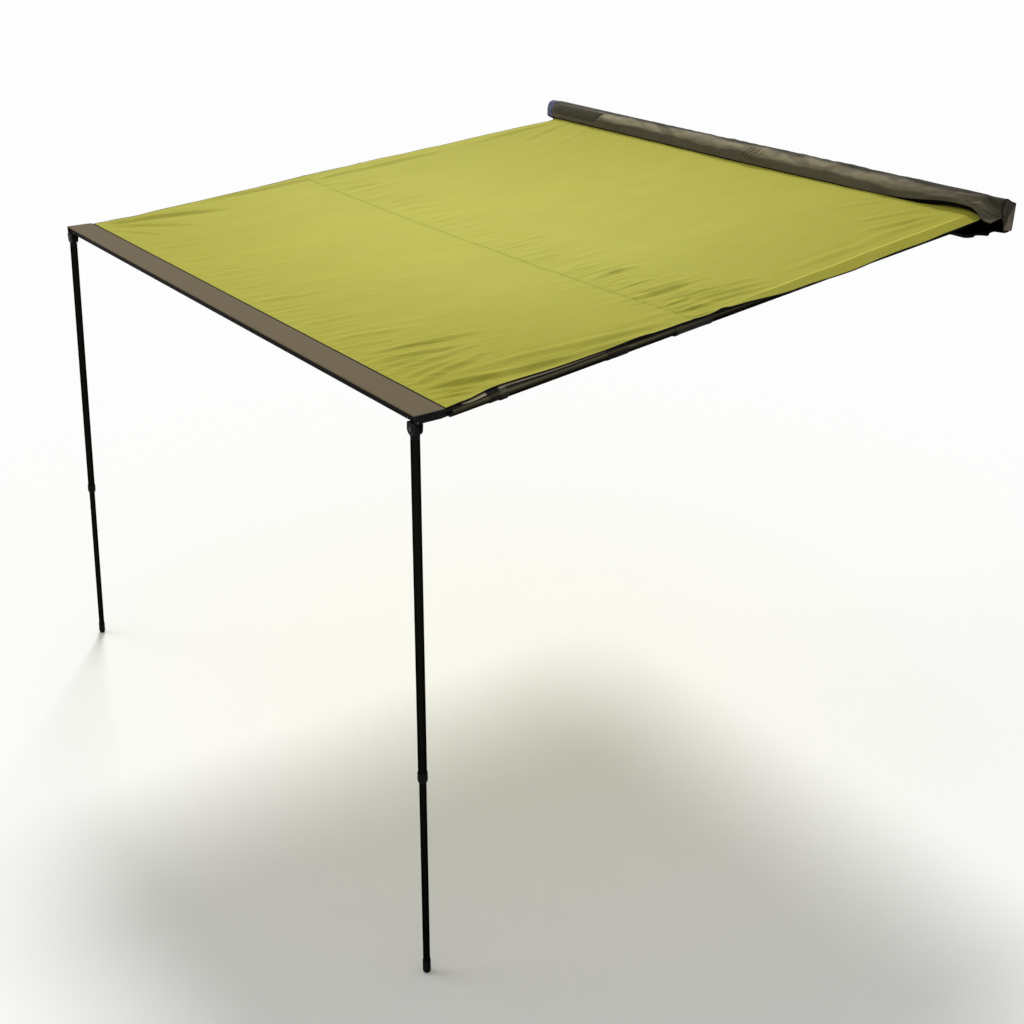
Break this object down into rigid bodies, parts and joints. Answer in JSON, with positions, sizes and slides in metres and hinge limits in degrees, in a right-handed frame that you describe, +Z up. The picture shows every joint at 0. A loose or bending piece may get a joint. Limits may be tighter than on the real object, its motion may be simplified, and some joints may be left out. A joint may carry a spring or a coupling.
{
  "type": "vehicle side awning",
  "caption": "Roof-rack side awning set up: back board in a soft cover, sloping cloth canopy on telescoping arms, and a front rail on telescoping splayed legs.",
  "frame": {"origin": "middle of the back board's flat rear face, which stands against the roof rack", "axes": "+X along the board, -Y out from the vehicle, +Z up"},
  "size_m": [2.14, 2.1311, 1.729],
  "materials": {
    "canopy_cloth": "matt coated canvas, lime olive",
    "cover_pvc": "satin coated heavy cloth, taupe olive",
    "lining_pvc": "satin coated heavy cloth, black",
    "taupe_alloy": "satin anodised taupe",
    "mill_alloy": "plain satin extrusion",
    "black_coat": "satin black coating",
    "black_alloy": "satin black coated tube",
    "arm_alloy": "satin olive black coated tube",
    "black_plastic": "fine grained black",
    "zinc_steel": "zinc plated",
    "webbing": "woven black",
    "foot_rubber": "matt black"
  },
  "bodies": {
    "board": {"back_board": "mill_alloy", "rear_bead": "webbing", "cover_top": "cover_pvc", "canopy": "canopy_cloth", "right_board_cap": "black_plastic", "right_cover_end": "cover_pvc", "right_rack_bracket": "zinc_steel", "right_slot_bolt": "zinc_steel", "right_slot_nut": "zinc_steel", "right_arm_bracket": "black_coat", "right_arm_pin": "zinc_steel", "left_board_cap": "black_plastic", "left_cover_end": "cover_pvc", "left_rack_bracket": "zinc_steel", "left_slot_bolt": "zinc_steel", "left_slot_nut": "zinc_steel", "left_arm_bracket": "black_coat", "left_arm_pin": "zinc_steel"},
    "cover_flap": {"lower_flap": "lining_pvc", "zip_chain": "black_plastic"},
    "zip_pull": {"zip_slider": "black_plastic"},
    "front_rail": {"rail_plate": "taupe_alloy", "rail_channel": "black_alloy", "front_bead": "webbing", "right_rail_cap": "black_plastic", "right_leg_knuckle": "black_plastic", "right_leg_pin": "zinc_steel", "left_rail_cap": "black_plastic", "left_leg_knuckle": "black_plastic", "left_leg_pin": "zinc_steel"},
    "right_leg_upper_part": {"right_leg_lug": "black_plastic", "right_upper_leg": "black_alloy"},
    "right_leg_lock": {"right_leg_collar": "black_plastic"},
    "right_leg_lower_part": {"right_lower_leg": "black_alloy", "right_foot": "foot_rubber"},
    "left_leg_upper_part": {"left_leg_lug": "black_plastic", "left_upper_leg": "black_alloy"},
    "left_leg_lock": {"left_leg_collar": "black_plastic"},
    "left_leg_lower_part": {"left_lower_leg": "black_alloy", "left_foot": "foot_rubber"},
    "right_arm_outer_part": {"right_arm_lug": "black_plastic", "right_arm_outer": "arm_alloy", "right_rear_tie": "webbing"},
    "right_arm_rear_lock": {"right_arm_sleeve": "black_plastic"},
    "right_arm_mid_part": {"right_arm_mid": "arm_alloy", "right_front_tie": "webbing"},
    "right_arm_front_lock": {"right_arm_collar": "black_plastic"},
    "right_arm_inner_part": {"right_arm_inner": "arm_alloy", "right_arm_tip": "black_plastic"},
    "left_arm_outer_part": {"left_arm_lug": "black_plastic", "left_arm_outer": "arm_alloy", "left_rear_tie": "webbing"},
    "left_arm_rear_lock": {"left_arm_sleeve": "black_plastic"},
    "left_arm_mid_part": {"left_arm_mid": "arm_alloy", "left_front_tie": "webbing"},
    "left_arm_front_lock": {"left_arm_collar": "black_plastic"},
    "left_arm_inner_part": {"left_arm_inner": "arm_alloy", "left_arm_tip": "black_plastic"}
  },
  "joints": [
    {"name": "cover_flap_fold", "type": "hinge", "parent": "board", "child": "cover_flap", "pos_m": [0, -0.012, -0.0395], "axis": [1, 0, 0], "range_deg": [0, 65]},
    {"name": "zip_run", "type": "slide", "parent": "cover_flap", "child": "zip_pull", "axis": [1, 0, 0], "range_m": [0, 1.95]},
    {"name": "rail_travel", "type": "slide", "parent": "board", "child": "front_rail", "axis": [0, 0.996, 0.0894], "range_m": [0, 0.4], "deforming": ["canopy"]},
    {"name": "right_leg_fold", "type": "hinge", "parent": "front_rail", "child": "right_leg_upper_part", "pos_m": [0.984, -2.0255, -0.206], "axis": [0, 0.9997, -0.0241], "range_deg": [-5, 92.97]},
    {"name": "right_leg_twist_lock", "type": "hinge", "parent": "right_leg_upper_part", "child": "right_leg_lock", "pos_m": [1.02981, -2.04684, -1.08956], "axis": [0.0518, -0.0241, -0.9984], "range_deg": [0, 60]},
    {"name": "right_leg_extend", "type": "slide", "parent": "right_leg_upper_part", "child": "right_leg_lower_part", "axis": [-0.0518, 0.0241, 0.9984], "range_m": [-0.15, 0.525]},
    {"name": "left_leg_fold", "type": "hinge", "parent": "front_rail", "child": "left_leg_upper_part", "pos_m": [-0.984, -2.0255, -0.206], "axis": [0, -0.9997, 0.0241], "range_deg": [-5, 92.97]},
    {"name": "left_leg_twist_lock", "type": "hinge", "parent": "left_leg_upper_part", "child": "left_leg_lock", "pos_m": [-1.02981, -2.04684, -1.08956], "axis": [-0.0518, -0.0241, -0.9984], "range_deg": [0, 60]},
    {"name": "left_leg_extend", "type": "slide", "parent": "left_leg_upper_part", "child": "left_leg_lower_part", "axis": [0.0518, 0.0241, 0.9984], "range_m": [-0.15, 0.525]},
    {"name": "right_arm_swing", "type": "hinge", "parent": "board", "child": "right_arm_outer_part", "pos_m": [0.94412, -0.05, -0.01966], "axis": [0, 0.0894, -0.996], "range_deg": [0, 91.3]},
    {"name": "right_arm_rear_twist", "type": "hinge", "parent": "right_arm_outer_part", "child": "right_arm_rear_lock", "pos_m": [0.97051, -1.1975, -0.12271], "axis": [0.0229, -0.9957, -0.0894], "range_deg": [0, 60]},
    {"name": "right_arm_mid_slide", "type": "slide", "parent": "right_arm_outer_part", "child": "right_arm_mid_part", "axis": [-0.0229, 0.9957, 0.0894], "range_m": [0, 0.29]},
    {"name": "right_arm_front_twist", "type": "hinge", "parent": "right_arm_mid_part", "child": "right_arm_front_lock", "pos_m": [0.98416, -1.791, -0.176], "axis": [0.0229, -0.9957, -0.0894], "range_deg": [0, 60]},
    {"name": "right_arm_inner_slide", "type": "slide", "parent": "right_arm_mid_part", "child": "right_arm_inner_part", "axis": [-0.0229, 0.9957, 0.0894], "range_m": [0, 0.11]},
    {"name": "left_arm_swing", "type": "hinge", "parent": "board", "child": "left_arm_outer_part", "pos_m": [-0.94527, -0.1, -0.02415], "axis": [0, -0.0894, 0.996], "range_deg": [0, 91.3]},
    {"name": "left_arm_rear_twist", "type": "hinge", "parent": "left_arm_outer_part", "child": "left_arm_rear_lock", "pos_m": [-0.97051, -1.1975, -0.12271], "axis": [-0.0229, -0.9957, -0.0894], "range_deg": [0, 60]},
    {"name": "left_arm_mid_slide", "type": "slide", "parent": "left_arm_outer_part", "child": "left_arm_mid_part", "axis": [0.0229, 0.9957, 0.0894], "range_m": [0, 0.29]},
    {"name": "left_arm_front_twist", "type": "hinge", "parent": "left_arm_mid_part", "child": "left_arm_front_lock", "pos_m": [-0.98416, -1.791, -0.176], "axis": [-0.0229, -0.9957, -0.0894], "range_deg": [0, 60]},
    {"name": "left_arm_inner_slide", "type": "slide", "parent": "left_arm_mid_part", "child": "left_arm_inner_part", "axis": [0.0229, 0.9957, 0.0894], "range_m": [0, 0.11]}
  ],
  "couplings": [
    {"joint": "right_arm_mid_slide", "follows": "rail_travel", "ratio": 0.725},
    {"joint": "right_arm_inner_slide", "follows": "rail_travel", "ratio": 0.275},
    {"joint": "left_arm_mid_slide", "follows": "rail_travel", "ratio": 0.725},
    {"joint": "left_arm_inner_slide", "follows": "rail_travel", "ratio": 0.275}
  ]
}
